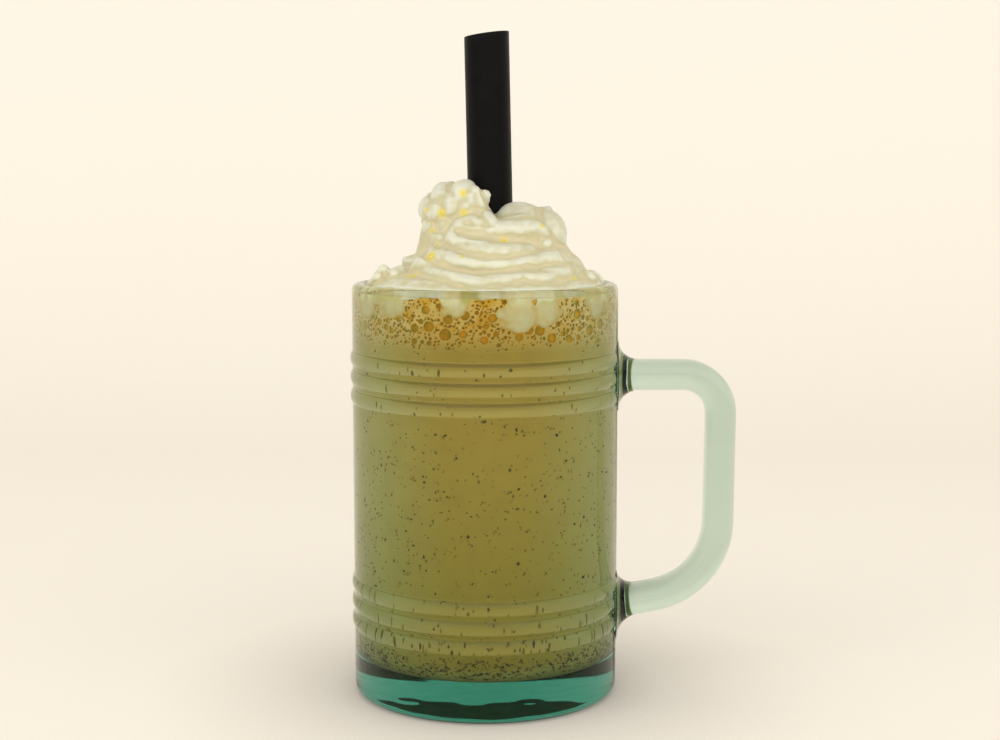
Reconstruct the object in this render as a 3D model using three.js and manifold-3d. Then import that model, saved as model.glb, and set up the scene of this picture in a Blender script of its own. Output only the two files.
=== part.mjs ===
// A milkshake in a ribbed glass mug, with a piped cream swirl and a wide straw.
// Millimetres, +Z up. The origin is the centre of the mug's underside; the handle points to +X.
import * as THREE from "three";
import { mergeVertices } from "three/addons/utils/BufferGeometryUtils.js";
import Module from "manifold-3d";

const wasm = await Module();
wasm.setup();

// Driving dimensions
const GAP = 0.3; // left between neighbouring pieces
const SIDES = 48; // facets round the mug and what fills it

const MUG = { radius: 36, height: 112, floor: 10, heel: 2.6, fillet: 5, innerTop: 32.4, innerFloor: 31.4 };
const RING = { rise: 0.62, width: 3.6, pitch: 5.1, perBand: 3, upperBand: 86.9, lowerBand: 25.5 };

// The handle's middle line: where its straight runs would meet, its lower end, and the radii of its bends
const HANDLE = { top: 86.9, reach: 64.3, lowReach: 63.7, lowCorner: 29, lowEnd: 23.2 };
const BEND = { top: 10.5, low: 21.4 };
const GRIP = { halfThick: 4.25, halfDepth: 5.2, squareness: 2.5, wallFillet: 5.8, sides: 14, steps: 44 };
const GRIP_CROWDING = 0.65; // how much closer its sections stand near the wall
const GRIP_ROOT = MUG.radius - 2.8; // where the handle's ends are buried in the wall

const DRINK_LEVEL = 108;

const STRAW = { radius: 6, wall: 0.5, bottom: 12.6, top: 178.1, footX: 4.05, topX: 0.44, sides: 24 };
const STRAW_SLANT = 0.115; // rise of the straw's cut upper end across its width

// Cream: a ridged rope wound up from the wall, and a second one laid on it that ends high beside the straw
const SWIRL_X = 2; // the winding's own axis lies a little towards the handle
const ROPE = { ridges: 7, start: 0.449, twist: 0.898, steps: 20, stretch: 0.33, overlap: 0.01 };
// turn, counted from the front; distance of the middle from the axis; height; radius; depth of grooves
const LOWER_ROPE = [
  { turn: 0.0, out: 21.5, height: 110.6, radius: 7.4, groove: 0.2 },
  { turn: 1.0, out: 17.2, height: 115.0, radius: 8.0, groove: 0.2 },
  { turn: 1.5, out: 14.6, height: 118.0, radius: 8.0, groove: 0.2 },
  { turn: 1.75, out: 12.6, height: 121.6, radius: 8.8, groove: 0.17 },
  { turn: 1.95, out: 12.9, height: 121.0, radius: 6.8, groove: 0.2 },
  { turn: 2.12, out: 12.9, height: 120.8, radius: 6.4, groove: 0.2 },
  { turn: 2.3, out: 12.0, height: 120.0, radius: 6.0, groove: 0.2 },
];
const UPPER_ROPE = [
  { turn: 1.87, out: 12.6, height: 125.6, radius: 5.0, groove: 0.3 },
  { turn: 2.0, out: 12.8, height: 125.0, radius: 5.9, groove: 0.3 },
  { turn: 2.12, out: 12.4, height: 124.7, radius: 7.0, groove: 0.24 },
  { turn: 2.25, out: 11.8, height: 124.6, radius: 8.7, groove: 0.16 },
  { turn: 2.5, out: 11.0, height: 126.0, radius: 8.0, groove: 0.2 },
  { turn: 2.75, out: 10.9, height: 130.4, radius: 8.9, groove: 0.14 },
  { turn: 2.93, out: 9.5, height: 134.0, radius: 5.0, groove: 0.2 },
  { turn: 2.99, out: 8.8, height: 135.5, radius: 2.4, groove: 0.2 },
];
const CREAM_DOME = { x: 9.5, y: -4.5, height: 125.5, radius: 8.4 }; // swells beside the straw
const CREAM_BASE = { bottom: DRINK_LEVEL + GAP, edge: 111.2, shoulder: 113.2, neck: 124, top: 130 };
const CREAM_CORE = { shelf: 7, neck: 11, top: 7 }; // the shelf is a width, the others are radii
const CREAM_SPILL = 1.2; // how far cream may lean out over the rim

// Lobes of cream that hang down the inside of the wall: bearing in degrees, radius and lowest point
const FRONT_LOBES = [
  { bearing: -153, radius: 4.6, lowest: 102.4 },
  { bearing: -134, radius: 4.2, lowest: 103.2 },
  { bearing: -102, radius: 3.4, lowest: 104.4 },
  { bearing: -77, radius: 5.2, lowest: 100.7 },
  { bearing: -58, radius: 4.4, lowest: 102.0 },
  { bearing: -32, radius: 4.8, lowest: 102.6 },
];
const BACK_LOBES = { count: 6, first: -4, step: 30, radius: 4.4, lowest: 102.8 };
const BACK_SWAY = { pace: 2.4, bearing: 5, radius: 0.6, lowest: 1.2 }; // their unevenness
const LOBE_STRETCH = 1.3; // height of a lobe against its width
const LOBE_BACKED = 0.6; // share of its radius by which a lobe's middle stands off the wall

// Mesh helpers

function toSolid(geometry) {
  const bare = geometry.clone();
  bare.deleteAttribute("normal");
  bare.deleteAttribute("uv");
  const merged = mergeVertices(bare, 1e-4);
  const index = merged.index.array;
  const triangles = [];
  for (let i = 0; i < index.length; i += 3) {
    const [a, b, c] = index.slice(i, i + 3);
    if (a !== b && b !== c && c !== a) triangles.push(a, b, c);
  }
  const vertProperties = new Float32Array(merged.attributes.position.array);
  const triVerts = new Uint32Array(triangles);
  return new wasm.Manifold(new wasm.Mesh({ numProp: 3, vertProperties, triVerts }));
}

// The largest connected body of a solid, so that no loose scrap is left after a cut
function mainBody(solid) {
  const bodies = solid.decompose();
  return bodies.reduce((best, body) => (body.volume() > best.volume() ? body : best));
}

function toGeometry(solid) {
  const mesh = solid.getMesh();
  const geometry = new THREE.BufferGeometry();
  geometry.setAttribute("position", new THREE.BufferAttribute(mesh.vertProperties, 3));
  geometry.setIndex(new THREE.BufferAttribute(mesh.triVerts, 1));
  geometry.computeVertexNormals();
  return geometry;
}

// A profile of (radius, height) points turned about Z
function turned(profile, sides = SIDES) {
  const points = profile.map(([radius, height]) => new THREE.Vector2(radius, height));
  return new THREE.LatheGeometry(points, sides).rotateX(Math.PI / 2);
}

// Points of an arc, angles in degrees
function arc(centreX, centreY, radius, from, to, steps) {
  const points = [];
  for (let i = 0; i <= steps; i++) {
    const angle = THREE.MathUtils.degToRad(from + ((to - from) * i) / steps);
    points.push([centreX + radius * Math.cos(angle), centreY + radius * Math.sin(angle)]);
  }
  return points;
}

// A closed skin over rings of points, each ring turning from its first axis to its second about the way on
function loft(rings) {
  const sides = rings[0].length;
  const positions = rings.flat().flatMap((point) => point.toArray());
  const index = [];
  for (let i = 0; i + 1 < rings.length; i++) {
    for (let j = 0; j < sides; j++) {
      const here = i * sides + j;
      const next = i * sides + ((j + 1) % sides);
      index.push(here, next, next + sides, here, next + sides, here + sides);
    }
  }
  for (const last of [false, true]) {
    const ring = last ? rings[rings.length - 1] : rings[0];
    const start = last ? (rings.length - 1) * sides : 0;
    const hub = positions.length / 3;
    const middle = ring.reduce((sum, point) => sum.add(point), new THREE.Vector3()).divideScalar(sides);
    positions.push(...middle.toArray());
    for (let j = 0; j < sides; j++) {
      const next = start + ((j + 1) % sides);
      index.push(hub, last ? start + j : next, last ? next : start + j);
    }
  }
  const geometry = new THREE.BufferGeometry();
  geometry.setAttribute("position", new THREE.Float32BufferAttribute(positions, 3));
  geometry.setIndex(index);
  return geometry;
}

// Glass mug: a turned body with two bands of raised rings, and its handle, in one piece

function innerRadius(height) {
  const share = (height - MUG.floor) / (MUG.height - MUG.floor);
  return THREE.MathUtils.lerp(MUG.innerFloor, MUG.innerTop, share);
}

function ringProfile(middle) {
  const half = RING.width / 2;
  const radius = (half * half + RING.rise * RING.rise) / (2 * RING.rise);
  const spread = THREE.MathUtils.radToDeg(Math.asin(half / radius));
  return arc(MUG.radius + RING.rise - radius, middle, radius, -spread, spread, 4);
}

function bandProfile(middle) {
  const points = [];
  for (let i = 0; i < RING.perBand; i++) {
    points.push(...ringProfile(middle + (i - (RING.perBand - 1) / 2) * RING.pitch));
  }
  return points;
}

// The hollow's outline from the axis at the floor up to a height, drawn in from the glass by a margin
function hollowProfile(upTo, margin) {
  const fillet = MUG.fillet;
  const bottom = MUG.floor + margin;
  const corner = innerRadius(MUG.floor + fillet) - margin;
  return [
    [0, bottom],
    ...arc(corner - fillet + margin, MUG.floor + fillet, fillet - margin, -90, 0, 4),
    [innerRadius(upTo) - margin, upTo],
  ];
}

function mugBody() {
  const lip = (MUG.radius - MUG.innerTop) / 2;
  const outside = [
    [0, 0],
    ...arc(MUG.radius - MUG.heel, MUG.heel, MUG.heel, -90, 0, 4),
    ...bandProfile(RING.lowerBand),
    ...bandProfile(RING.upperBand),
    ...arc(MUG.radius - lip, MUG.height - lip, lip, 0, 180, 6),
  ];
  const inside = hollowProfile(MUG.height - lip, 0).slice(0, -1).reverse();
  return toSolid(turned([...outside, ...inside]));
}

// The handle's middle line in the XZ plane, from the upper root to the lower one
function handleLine() {
  const corners = [
    new THREE.Vector2(GRIP_ROOT, HANDLE.top),
    new THREE.Vector2(HANDLE.reach, HANDLE.top),
    new THREE.Vector2(HANDLE.lowReach, HANDLE.lowCorner),
    new THREE.Vector2(GRIP_ROOT, HANDLE.lowEnd),
  ];
  const bends = [BEND.top, BEND.low];
  const path = new THREE.Path();
  path.moveTo(corners[0].x, corners[0].y);
  bends.forEach((radius, i) => {
    const corner = corners[i + 1];
    const back = corners[i].clone().sub(corner).normalize();
    const on = corners[i + 2].clone().sub(corner).normalize();
    const halfAngle = Math.acos(back.dot(on)) / 2;
    const enter = corner.clone().addScaledVector(back, radius / Math.tan(halfAngle));
    const middle = back.clone().add(on).normalize();
    const centre = corner.clone().addScaledVector(middle, radius / Math.sin(halfAngle));
    const leave = corner.clone().addScaledVector(on, radius / Math.tan(halfAngle));
    const start = enter.clone().sub(centre).angle();
    const end = leave.clone().sub(centre).angle();
    path.lineTo(enter.x, enter.y);
    path.absarc(centre.x, centre.y, radius, start, end, true);
  });
  path.lineTo(corners[3].x, corners[3].y);
  return path;
}

// How much the handle swells at a distance from the wall, so that it runs into it with a fillet
function wallFlare(distance) {
  const fillet = GRIP.wallFillet;
  const left = THREE.MathUtils.clamp(fillet - distance, 0, fillet);
  return fillet - Math.sqrt(fillet * fillet - left * left);
}

function handleRing(point, tangent) {
  const upright = new THREE.Vector2(0, Math.sign(tangent.x) || 1);
  const square = new THREE.Vector2(-tangent.y, tangent.x);
  const nearWall = 1 - THREE.MathUtils.smoothstep(point.x - MUG.radius, 0, 2 * GRIP.wallFillet);
  const across = square.lerp(upright, nearWall).normalize();
  const ring = [];
  for (let i = 0; i < GRIP.sides; i++) {
    const angle = (2 * Math.PI * i) / GRIP.sides;
    const power = 2 / GRIP.squareness;
    const thick = GRIP.halfThick * Math.sign(Math.cos(angle)) * Math.abs(Math.cos(angle)) ** power;
    const deep = -GRIP.halfDepth * Math.sign(Math.sin(angle)) * Math.abs(Math.sin(angle)) ** power;
    const offset = new THREE.Vector3(across.x * thick, deep, across.y * thick);
    const distance = Math.hypot(point.x + offset.x, offset.y) - MUG.radius;
    offset.setLength(offset.length() + wallFlare(distance));
    ring.push(new THREE.Vector3(point.x, 0, point.y).add(offset));
  }
  return ring;
}

function handle() {
  const path = handleLine();
  const rings = [];
  for (let i = 0; i <= GRIP.steps; i++) {
    const even = i / GRIP.steps;
    const along = even - (GRIP_CROWDING * Math.sin(2 * Math.PI * even)) / (2 * Math.PI);
    rings.push(handleRing(path.getPointAt(along), path.getTangentAt(along)));
  }
  for (const ring of [rings[0], rings[rings.length - 1]]) {
    ring.forEach((point) => point.setX(GRIP_ROOT));
  }
  return toSolid(loft(rings));
}

// Straw: a leaning tube with a slightly slanted upper end

const strawWay = new THREE.Vector3(STRAW.topX - STRAW.footX, 0, STRAW.top - STRAW.bottom);
const strawLength = strawWay.length();

// Sets what is modelled upright at the origin on the straw's own axis
function onStrawAxis(geometry) {
  const up = new THREE.Vector3(0, 0, 1);
  const lean = new THREE.Quaternion().setFromUnitVectors(up, strawWay.clone().normalize());
  return toSolid(geometry.applyQuaternion(lean).translate(STRAW.footX, 0, STRAW.bottom));
}

function tube(outer, inner, from, to) {
  return turned([[inner, from], [outer, from], [outer, to], [inner, to], [inner, from]], STRAW.sides);
}

function straw() {
  const geometry = tube(STRAW.radius, STRAW.radius - STRAW.wall, 0, strawLength);
  const { position } = geometry.attributes;
  for (let i = 0; i < position.count; i++) {
    if (position.getZ(i) > strawLength / 2) position.setZ(i, strawLength + STRAW_SLANT * position.getX(i));
  }
  return onStrawAxis(geometry);
}

// Cream

function lobes() {
  const back = [];
  for (let i = 0; i < BACK_LOBES.count; i++) {
    const sway = Math.sin(BACK_SWAY.pace * i);
    back.push({
      bearing: BACK_LOBES.first + BACK_LOBES.step * i + BACK_SWAY.bearing * sway,
      radius: BACK_LOBES.radius + BACK_SWAY.radius * sway,
      lowest: BACK_LOBES.lowest + BACK_SWAY.lowest * sway,
    });
  }
  return [...FRONT_LOBES, ...back];
}

function lobeSolid({ bearing, radius, lowest }, margin) {
  const angle = THREE.MathUtils.degToRad(bearing);
  const out = MUG.innerTop - LOBE_BACKED * radius;
  const sphere = new THREE.SphereGeometry(1, 10, 7);
  sphere.scale(radius + margin, radius + margin, LOBE_STRETCH * radius + margin);
  sphere.translate(out * Math.cos(angle), out * Math.sin(angle), lowest + LOBE_STRETCH * radius);
  return toSolid(sphere);
}

// A rope's middle, its outward direction, radius and grooves at a turn, taken between its stations
function ropeAt(stations, turn) {
  const last = stations.length - 2;
  const found = stations.findIndex((station, i) => i <= last && turn <= stations[i + 1].turn);
  const from = stations[found < 0 ? last : found];
  const to = stations[found < 0 ? last + 1 : found + 1];
  const share = (turn - from.turn) / (to.turn - from.turn);
  const mix = (key) => THREE.MathUtils.lerp(from[key], to[key], share);
  const angle = 2 * Math.PI * turn - Math.PI / 2;
  const outward = new THREE.Vector3(Math.cos(angle), Math.sin(angle), 0);
  const middle = new THREE.Vector3(SWIRL_X, 0, mix("height")).addScaledVector(outward, mix("out"));
  return { middle, outward, radius: mix("radius"), groove: mix("groove") };
}

function ropeRing(stations, turn) {
  const step = ROPE.overlap / 2;
  const { middle, outward, radius, groove } = ropeAt(stations, turn);
  const way = ropeAt(stations, turn + step).middle.sub(ropeAt(stations, turn - step).middle).normalize();
  const first = outward.clone().addScaledVector(way, -outward.dot(way)).normalize();
  const second = way.clone().cross(first);
  const sides = 2 * ROPE.ridges;
  const ring = [];
  for (let i = 0; i < sides; i++) {
    const angle = (2 * Math.PI * i) / sides + ROPE.start + ROPE.twist * turn;
    const reach = radius * (i % 2 === 0 ? 1 : 1 - groove);
    const point = middle.clone().addScaledVector(first, reach * Math.cos(angle));
    ring.push(point.addScaledVector(second, reach * Math.sin(angle)));
  }
  return ring;
}

// A wound rope, in short closed stretches that overlap a little, so that turns may press into each other
function rope(stations) {
  const start = stations[0].turn + ROPE.overlap;
  const end = stations[stations.length - 1].turn - ROPE.overlap;
  const pieces = Math.round((end - start) / ROPE.stretch);
  const stretch = (end - start) / pieces;
  let whole = null;
  for (let i = 0; i < pieces; i++) {
    const from = Math.max(start, start + i * stretch - ROPE.overlap);
    const to = Math.min(end, start + (i + 1) * stretch + ROPE.overlap);
    const steps = Math.ceil((to - from) * ROPE.steps);
    const rings = [];
    for (let j = 0; j <= steps; j++) rings.push(ropeRing(stations, from + ((to - from) * j) / steps));
    const part = toSolid(loft(rings));
    whole = whole ? whole.add(part) : part;
  }
  return whole;
}

function creamDome() {
  const { x, y, height, radius } = CREAM_DOME;
  return toSolid(new THREE.SphereGeometry(radius, 14, 10).rotateX(Math.PI / 2).translate(x, y, height));
}

// The filling between the wall and the rope, up through the middle of the winding
function creamBase() {
  const wide = innerRadius(CREAM_BASE.edge) - GAP;
  return toSolid(turned([
    [0, CREAM_BASE.bottom],
    [wide, CREAM_BASE.bottom],
    [wide, CREAM_BASE.edge],
    [wide - CREAM_CORE.shelf, CREAM_BASE.shoulder],
    [CREAM_CORE.neck, CREAM_BASE.neck],
    [CREAM_CORE.top, CREAM_BASE.top],
    [0, CREAM_BASE.top],
  ]));
}

// The space above a height that cream may fill: the mug's hollow, and a little more above the rim
function creamRoom(from) {
  const rim = MUG.height + GAP;
  const wide = innerRadius(rim) - GAP;
  const top = STRAW.top;
  return toSolid(turned([
    [0, from],
    [innerRadius(from) - GAP, from],
    [wide, rim],
    [wide + CREAM_SPILL, rim + CREAM_SPILL],
    [wide + CREAM_SPILL, top],
    [0, top],
  ]));
}

function cream() {
  const wide = STRAW.radius + GAP;
  const hole = onStrawAxis(turned([[0, 0], [wide, 0], [wide, strawLength], [0, strawLength]], STRAW.sides));
  let hanging = creamBase();
  for (const lobe of lobes()) hanging = hanging.add(lobeSolid(lobe, 0));
  hanging = hanging.intersect(creamRoom(MUG.height / 2));
  const wound = rope(LOWER_ROPE).add(rope(UPPER_ROPE)).add(creamDome());
  return mainBody(hanging.add(wound.intersect(creamRoom(CREAM_BASE.bottom))).subtract(hole));
}

// Drink: fills the mug up to its level, round the straw and inside it

function drink() {
  const outline = [...hollowProfile(DRINK_LEVEL, GAP), [0, DRINK_LEVEL]];
  const { radius, wall } = STRAW;
  const slot = onStrawAxis(tube(radius + GAP, radius - wall - GAP, -GAP, strawLength));
  let whole = toSolid(turned(outline)).subtract(slot);
  for (const lobe of lobes()) whole = whole.subtract(lobeSolid(lobe, GAP));
  return mainBody(whole);
}

// The whole, one named mesh for each piece

function piece(name, solid, look) {
  const mesh = new THREE.Mesh(toGeometry(solid), new THREE.MeshStandardMaterial(look));
  mesh.name = name;
  return mesh;
}

const glassLook = { color: 0xb9cdbd, roughness: 0.05, metalness: 0, transparent: true, opacity: 0.45 };
const milkshake = new THREE.Group();
milkshake.add(piece("glass_mug", mugBody().add(handle()), glassLook));
milkshake.add(piece("drink", drink(), { color: 0x8a7838, roughness: 0.5, metalness: 0 }));
milkshake.add(piece("cream", cream(), { color: 0xe9e2c6, roughness: 0.55, metalness: 0 }));
milkshake.add(piece("straw", straw(), { color: 0x1b1b19, roughness: 0.45, metalness: 0 }));

export default milkshake;
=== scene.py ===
"""A milkshake in a ribbed glass mug, with a piped cream swirl and a wide straw, dressed on its solids.

Lengths in the constants are millimetres in the object's own frame; meshes are made in metres.
"""

import math

import bpy
import numpy as np
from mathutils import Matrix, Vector
from mathutils.bvhtree import BVHTree
from mathutils.kdtree import KDTree


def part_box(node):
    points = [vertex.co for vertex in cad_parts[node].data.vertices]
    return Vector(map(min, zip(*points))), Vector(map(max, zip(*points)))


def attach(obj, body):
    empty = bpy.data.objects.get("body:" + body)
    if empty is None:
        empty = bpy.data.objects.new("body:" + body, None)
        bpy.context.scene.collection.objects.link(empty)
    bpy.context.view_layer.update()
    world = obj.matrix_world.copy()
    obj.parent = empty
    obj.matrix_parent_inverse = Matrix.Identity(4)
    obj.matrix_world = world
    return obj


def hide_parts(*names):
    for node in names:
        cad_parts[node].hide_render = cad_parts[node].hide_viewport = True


MM = 0.001

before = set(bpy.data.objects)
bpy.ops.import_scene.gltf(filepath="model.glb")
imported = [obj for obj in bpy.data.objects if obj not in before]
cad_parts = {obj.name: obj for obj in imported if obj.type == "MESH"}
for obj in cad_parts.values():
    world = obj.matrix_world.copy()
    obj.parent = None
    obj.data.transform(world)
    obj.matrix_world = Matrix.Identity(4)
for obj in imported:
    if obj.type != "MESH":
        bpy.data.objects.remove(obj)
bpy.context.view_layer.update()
rng = np.random.default_rng(7)


def node_box(node):
    """Lowest and highest corner of a solid, in millimetres."""
    low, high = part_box(node)
    return np.array(low) / MM, np.array(high) / MM


# Driving dimensions

RING = dict(rise=0.62, width=3.8, pitch=5.1, count=3, upper=86.9, lower=25.5, margin=0.4, steps=85)
mug_low, mug_high = node_box("glass_mug")
MUG_HEIGHT = mug_high[2]
MUG_RADIUS = -mug_low[0] - RING["rise"]
MUG_SIDES = 240
MUG_FLOOR = 10.0
MUG_HEEL = 2.6
PUSH_UP = dict(radius=28.5, depth=0.9, ripple=0.08, pace=0.5)
MUG_FILLET = 5.0
INNER_TOP = 32.4
INNER_FLOOR = 31.4
LIP = (MUG_RADIUS - INNER_TOP) / 2

HANDLE_CORNERS = [(MUG_RADIUS - 2.8, 86.9), (64.3, 86.9), (63.7, 29.0), (MUG_RADIUS - 2.8, 23.2)]
HANDLE_BENDS = (10.5, 21.4)
GRIP = dict(half_thick=4.25, half_depth=5.2, squareness=2.5, fillet=5.8, sides=40, steps=150)

DRINK_INTO_WALL = 0.16
CREAM_INTO_WALL = 0.28
SPECK_INTO_WALL = 0.2
CREAM_INTO_STRAW = 0.2
LIP_GAP = dict(foot=109.8, width=0.5, over=1.6, beyond=1.0)
BUBBLE = dict(spacing=1.12, hollow=0.2, deepest=0.13)
FOAM = dict(bottom=96.5, top=110.0, step=0.21, thick=1.6)
# Each kind of bubble is a count tried, the smallest and largest radius, and the heights it keeps between
FOAM_BUBBLES = ((120, 0.8, 1.5, 98.5, 108.5), (520, 0.35, 0.8, 97.8, 110.2), (4200, 0.13, 0.36, 97, 111))

# Each kind of speck is a count, its lowest and highest place, least and most radius, and least and most veil
SPECKS = (
    (2600, 18, 98, 0.16, 0.4, 0.3, 0.85),
    (320, 18, 106, 0.22, 0.5, 0.05, 0.45),
    (1300, 11.2, 16.5, 0.18, 0.48, 0.0, 0.5),
    (700, 14, 24, 0.16, 0.42, 0.1, 0.7),
)

FLAKE = dict(corners=7, proud=0.04, sunk=0.1, ragged=(0.65, 1.2), stretch=(0.75, 1.3))

STRAW = dict(radius=6.0, wall=0.5, bottom=12.6, top=178.1, foot_x=4.05, top_x=0.44, slant=0.115, sides=72)

# Bed of the cream: distance in from the glass and height, then radius and height of the core of the swirl
CREAM_BED = [(2, 108.6), (0, 109.6), (0, 111.2), (1, 112.3), (3, 113.7), (6, 114.4), (10, 115.8)]
CREAM_CORE = [(11, 124), (7, 130)]
CREAM_LEVEL = 110.0
CREAM_VOXEL = 0.4
# Unevenness of the cream: size and strength
CREAM_RELIEF = [(6.0, 0.9), (1.8, 0.2)]
# Rounds of smoothing that show the folds for their painted shade and highlight, and how far a full ridge
# stands out
CREAM_FOLDS = dict(rounds=30, full=0.5)
# Depth past the glass at which pressed cream touches fully, and how soon
CREAM_CONTACT = dict(full=1.7, power=0.6)
SWIRL_X = 2.0
ROPE = dict(ridges=7, start=0.449, twist=0.898, sharp=0.75, taper=0.07, soft=25, sides=112, steps=150)
# Swelling along the rope: share of its radius, waves in a turn and shift
ROPE_WAVES = [(0.025, 6.3, 0), (0.02, 10.7, 1)]
# Each station is the turn from the front, distance out, height, radius and depth of the grooves
LOWER_ROPE = np.array([
    (0.0, 21.5, 110.6, 7.4, 0.2),
    (1.0, 17.2, 115.0, 8.0, 0.2),
    (1.5, 14.6, 118.0, 8.0, 0.2),
    (1.75, 12.6, 121.6, 8.8, 0.17),
    (1.95, 12.9, 121.0, 6.8, 0.2),
    (2.12, 12.9, 120.8, 6.4, 0.2),
    (2.3, 12.0, 120.0, 6.0, 0.2),
])
UPPER_ROPE = np.array([
    (1.87, 12.6, 125.6, 5.2, 0.3),
    (2.0, 12.8, 124.8, 5.5, 0.3),
    (2.12, 12.4, 124.7, 7.0, 0.24),
    (2.25, 11.8, 124.6, 8.7, 0.16),
    (2.5, 11.0, 126.0, 8.0, 0.2),
    (2.75, 10.9, 130.4, 8.9, 0.14),
    (2.93, 9.5, 134.0, 5.0, 0.2),
    (2.99, 8.8, 135.5, 2.4, 0.2),
])
FRONT_GROOVES = 0.3
CREAM_DOMES = [(9.5, -4.5, 125.5, 8.4), (15.0, -4.5, 125.2, 7.0)]
# Upper edges of the folds that the picture shows, in its pixels, and how far each stands out
FOLDS = [
    (0.9, [(497, 225), (512, 223.5), (528, 223.5), (538, 226), (544, 232), (544, 239)]),
    (1.4, [(463, 222), (455, 226), (452, 233), (456, 240), (468, 243), (487, 246), (508, 247), (530, 246)]),
    (1.6, [(434, 249), (446, 253), (463, 261), (485, 265), (509, 263), (531, 258), (557, 254)]),
    (1.5, [(417, 261), (433, 267), (449, 272), (475, 278), (501, 275), (521, 272), (540, 274), (566, 267)]),
    (0.8, [(456, 220), (465, 215), (473, 213), (480, 217)]),
    (0.8, [(477, 194), (481, 203), (486, 212), (492, 218)]),
]
# From the edge of a fold downwards: pixels below it, radius, and share of the standing out
FOLD_APRON = [(0, 1.1, 0.95), (3, 1.5, 1.0), (6, 2.0, 0.75), (9, 2.4, 0.35)]
# Lumps that the picture shows: pixels, radius and how far each stands out
LUMPS = [
    (463, 194, 4.0, 0.3), (445, 198, 4.2, 0.35), (434, 210, 4.4, 0.35), (443, 213, 4.8, 0.55),
    (456, 206, 4.4, 0.5), (470, 201, 4.0, 0.35), (436, 229, 4.0, 0.4), (449, 228, 3.6, 0.35),
    (485, 195, 1.6, 0.5), (452, 189, 2.2, 0.3), (436, 202, 2.0, 0.35), (450, 204, 2.0, 0.3),
    (439, 221, 2.2, 0.4), (460, 199, 1.8, 0.3), (474, 193, 2.0, 0.3), (467, 206, 1.8, 0.3),
    (449, 212, 1.8, 0.3), (433, 214, 1.6, 0.3), (442, 205, 1.6, 0.3),
]
RIM_DABS = dict(count=14, first=5, last=175, small=2.0, large=4.2, flat=0.6, out=26.5, height=111.4)
# Clots at the sides of the rim: centre and radius
RIM_CLUMPS = [
    (-26.5, -9, 112.8, 3.6),
    (-22.5, -12, 113.6, 3.4),
    (26.2, -9, 112.4, 3.6),
    (28.6, -2, 112.2, 3.2),
]
CLUMP_BITS = dict(count=16, small=0.2, large=0.5, spread=0.85)
FRONT_LOBES = [
    # bearing in degrees, radius, lowest point
    (-153, 4.6, 102.4),
    (-134, 4.2, 103.2),
    (-102, 3.4, 104.4),
    (-74.5, 4.6, 100.0),
    (-62, 3.8, 101.6),
    (-32, 4.8, 102.6),
]
BACK_LOBES = dict(count=6, first=-4, step=30, radius=4.4, lowest=102.8)
BACK_SWAY = dict(pace=2.4, bearing=5, radius=0.6, lowest=1.2)
LOBE_STRETCH = 1.3
LOBE_BACKED = 0.5
LOBE_TOP = 110.0
LOBE_CLOTS = dict(count=12, small=0.5, large=1.8, spread=1.2, sunk=0.3, rise=(0.4, 1.2))

# Yellow drops in the cream that the picture shows: across and down in its pixels, and radius
SYRUP_DROPS = [
    (442, 213, 1.2), (463, 193, 1.0), (464, 213, 1.0), (432, 231, 0.7), (437, 245, 0.6), (431, 256, 1.4),
    (462, 256, 0.8), (412, 276, 1.4), (504, 241, 1.0), (542, 226, 0.7), (574, 279, 1.2), (427, 210, 0.8),
]
SYRUP_BEHIND = dict(
    count=12, small=0.6, large=1.3, first=10, sweep=160, lift=(0.1, 0.9), height=(112, 128), away=200
)
# A drop's thick core, unevenness and flatness, and the reach of its stain, as shares of its radius
DROP = dict(core=0.6, uneven=(0.85, 1.15), flat=0.3, stain=1.5)

# Light that each ring gathers on the drink and takes from it: share of the pitch from below, and strength
RING_BRIGHT = [(0.2, 0.0), (0.3, 1.0), (0.42, 0.8), (0.5, 0.0), (0.76, 0.0), (0.83, 0.35), (0.9, 0.0)]
RING_DARK = [(0.5, 0.0), (0.56, 1.0), (0.63, 1.0), (0.7, 0.0)]

WARM = (1.0, 0.96, 0.9)
# Each light is its place, what it faces, its size, its watts, and whether it glints
LIGHTS = dict(
    front=((-100, -700, 900), (0, 0, 80), (1500, 450), 1.7, True),
    left=((-850, -600, 550), (0, 0, 80), (600, 600), 1.1, False),
    right=((850, -650, 450), (0, 0, 80), (600, 600), 1.1, False),
    table=((0, -275, 3), (0, -274, 300), (1200, 250), 1.3, False),
)
# A bright band round the sky: how far up and how strong
DOME = [(0.08, 0.05), (0.2, 1.0), (0.7, 1.0), (0.85, 0.15)]
# Its strength from the front, where y is least, to the sides
DOME_FRONT = (-0.9, 0.1, 2.25, 1.12)
STAGE = dict(bend=500.0, back=900.0, wide=20000.0, tall=2200.0, drop=0.05)
CAMERA = dict(x=4.03, y=-457.5, z=141.2, pitch=6.62, focal_px=1691.9)
PICTURE = (1000, 740)


# Mesh helpers


def mesh_object(name, points, faces, smooth=True):
    """An object from points in millimetres and faces of any size."""
    mesh = bpy.data.meshes.new(name)
    mesh.from_pydata((np.asarray(points) * MM).tolist(), [], [tuple(map(int, face)) for face in faces])
    mesh.validate()
    mesh.polygons.foreach_set("use_smooth", [smooth] * len(mesh.polygons))
    piece = bpy.data.objects.new(name, mesh)
    bpy.context.scene.collection.objects.link(piece)
    return piece


def grid_faces(rows, columns, closed_rows=False, start=0):
    """Quads over a grid whose columns close on themselves."""
    faces = []
    for i in range(rows if closed_rows else rows - 1):
        for j in range(columns):
            here = start + i * columns
            above = start + ((i + 1) % rows) * columns
            beside = (j + 1) % columns
            faces.append((here + j, here + beside, above + beside, above + j))
    return faces


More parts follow.
